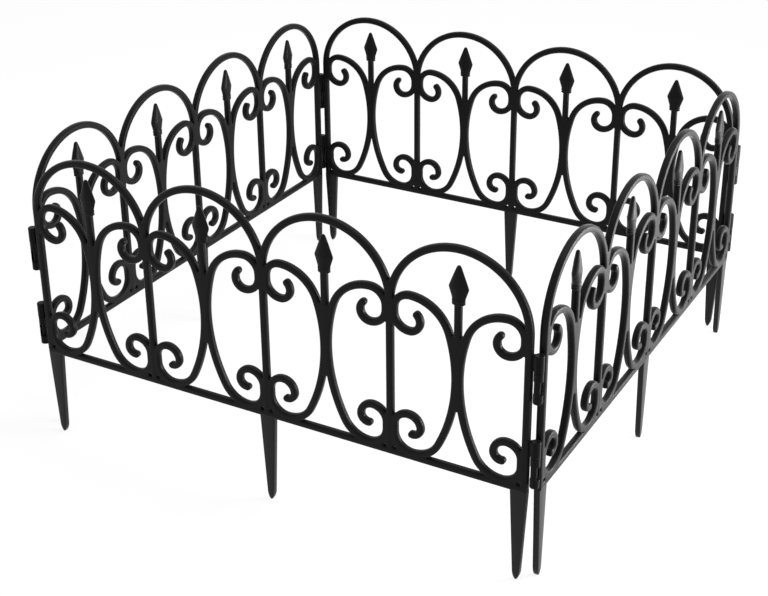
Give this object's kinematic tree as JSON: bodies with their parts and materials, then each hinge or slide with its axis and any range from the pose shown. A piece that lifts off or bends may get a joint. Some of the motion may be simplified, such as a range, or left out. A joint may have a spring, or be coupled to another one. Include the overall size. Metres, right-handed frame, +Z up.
{
  "type": "garden border fence",
  "caption": "Square of hinged black plastic border-fence panels with round arches, C-scrolls, spear heads and ground stakes, to edge and guard a planting bed.",
  "frame": {"origin": "centre of the square at the level of the stake tips", "axes": "+Z up; the front panel faces -Y, the right panel +X, the back panel +Y and the left panel -X"},
  "size_m": [0.618, 0.618, 0.3499],
  "materials": {
    "panel_plastic": "satin moulded",
    "stake_plastic": "satin moulded",
    "hinge_plastic": "satin moulded"
  },
  "bodies": {
    "front_panel": {"front_lattice": "panel_plastic", "front_spear_heads": "panel_plastic", "front_stake_left": "stake_plastic", "front_stake_middle": "stake_plastic", "front_stake_right": "stake_plastic", "front_upper_peg": "hinge_plastic", "front_upper_eye": "hinge_plastic", "front_lower_peg": "hinge_plastic", "front_lower_eye": "hinge_plastic"},
    "right_panel": {"right_lattice": "panel_plastic", "right_spear_heads": "panel_plastic", "right_stake_left": "stake_plastic", "right_stake_middle": "stake_plastic", "right_stake_right": "stake_plastic", "right_upper_peg": "hinge_plastic", "right_upper_eye": "hinge_plastic", "right_lower_peg": "hinge_plastic", "right_lower_eye": "hinge_plastic"},
    "back_panel": {"back_lattice": "panel_plastic", "back_spear_heads": "panel_plastic", "back_stake_left": "stake_plastic", "back_stake_middle": "stake_plastic", "back_stake_right": "stake_plastic", "back_upper_peg": "hinge_plastic", "back_upper_eye": "hinge_plastic", "back_lower_peg": "hinge_plastic", "back_lower_eye": "hinge_plastic"},
    "left_panel": {"left_lattice": "panel_plastic", "left_spear_heads": "panel_plastic", "left_stake_left": "stake_plastic", "left_stake_middle": "stake_plastic", "left_stake_right": "stake_plastic", "left_upper_peg": "hinge_plastic", "left_upper_eye": "hinge_plastic", "left_lower_peg": "hinge_plastic", "left_lower_eye": "hinge_plastic"}
  },
  "joints": [
    {"name": "front_right_hinge", "type": "hinge", "parent": "front_panel", "child": "right_panel", "pos_m": [0.304, -0.304, 0], "axis": [0, 0, 1], "range_deg": [-30, 30]},
    {"name": "front_left_hinge", "type": "hinge", "parent": "front_panel", "child": "left_panel", "pos_m": [-0.304, -0.304, 0], "axis": [0, 0, 1], "range_deg": [-30, 30]},
    {"name": "left_back_hinge", "type": "hinge", "parent": "left_panel", "child": "back_panel", "pos_m": [-0.304, 0.304, 0], "axis": [0, 0, 1], "range_deg": [-30, 30]}
  ],
  "couplings": [
    {"joint": "front_left_hinge", "follows": "front_right_hinge", "ratio": 1},
    {"joint": "left_back_hinge", "follows": "front_right_hinge", "ratio": -1}
  ]
}
